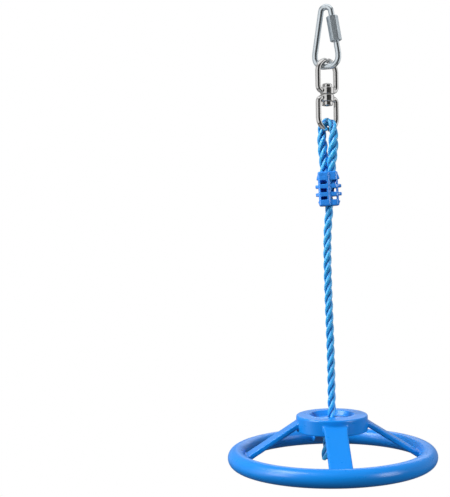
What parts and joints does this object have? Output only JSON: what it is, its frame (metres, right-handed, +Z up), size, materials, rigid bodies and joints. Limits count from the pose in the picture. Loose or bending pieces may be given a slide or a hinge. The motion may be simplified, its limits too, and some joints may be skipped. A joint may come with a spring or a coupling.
{
  "type": "hanging wheel swing",
  "caption": "Ring wheel on sloping spokes around a raised hub, hung by a laid rope with a clamped eye from a double-eye swivel and a pear-shaped screw link.",
  "frame": {"origin": "inside of the quick link's top bend, the point that the assembly hangs from", "axes": "+Z up along the hanging line, +X to the right and -Y to the front, with the front spoke near -Y"},
  "size_m": [0.25, 0.25, 0.5492],
  "materials": {
    "zinc_steel": "bright zinc plate over forged steel, slightly soft reflections",
    "stainless_steel": "polished stainless steel with fine handling scratches",
    "rope": "three-strand laid polyolefin rope, slightly glossy fibres",
    "clamp_plastic": "injection moulded, glossy",
    "wheel_plastic": "injection moulded, glossy, with softly rounded edges"
  },
  "bodies": {
    "quick_link": {"quick_link_body": "zinc_steel"},
    "link_sleeve": {"quick_link_sleeve": "zinc_steel"},
    "swivel_top": {"swivel_upper_eye": "stainless_steel", "swivel_pin": "stainless_steel", "swivel_collar": "stainless_steel"},
    "swivel_bottom": {"swivel_lower_eye": "stainless_steel"},
    "rope": {"rope_eye_loop": "rope", "rope_standing": "rope", "rope_clamp_front": "clamp_plastic", "rope_clamp_back": "clamp_plastic"},
    "neck": {"rope_neck": "rope"},
    "wheel": {"rope_through_hub": "rope", "rope_stopper_knot": "rope", "rope_tail": "rope", "wheel_hub": "wheel_plastic", "wheel_rim": "wheel_plastic", "wheel_spoke_front": "wheel_plastic", "wheel_spoke_right": "wheel_plastic", "wheel_spoke_back": "wheel_plastic", "wheel_spoke_left": "wheel_plastic"}
  },
  "joints": [
    {"name": "sleeve_travel", "type": "slide", "parent": "quick_link", "child": "link_sleeve", "axis": [0.1529, -0.041, -0.9874], "range_m": [0, 0.0108]},
    {"name": "swivel_tilt", "type": "hinge", "parent": "quick_link", "child": "swivel_top", "pos_m": [0, 0, -0.0675], "axis": [0.9659, -0.2588, 0], "range_deg": [-60, 60]},
    {"name": "swivel_spin", "type": "hinge", "parent": "swivel_top", "child": "swivel_bottom", "pos_m": [0, 0, -0.101], "axis": [0, 0, 1], "continuous": true},
    {"name": "rope_tilt", "type": "hinge", "parent": "swivel_bottom", "child": "rope", "pos_m": [0, 0, -0.14225], "axis": [0.766, 0.6428, 0], "range_deg": [-50, 50]},
    {"name": "rope_bend", "type": "hinge", "parent": "rope", "child": "neck", "pos_m": [0, 0, -0.457], "axis": [1, 0, 0], "range_deg": [-35, 35]},
    {"name": "wheel_tilt", "type": "hinge", "parent": "neck", "child": "wheel", "pos_m": [0, 0, -0.471], "axis": [0, 1, 0], "range_deg": [-35, 35]}
  ]
}
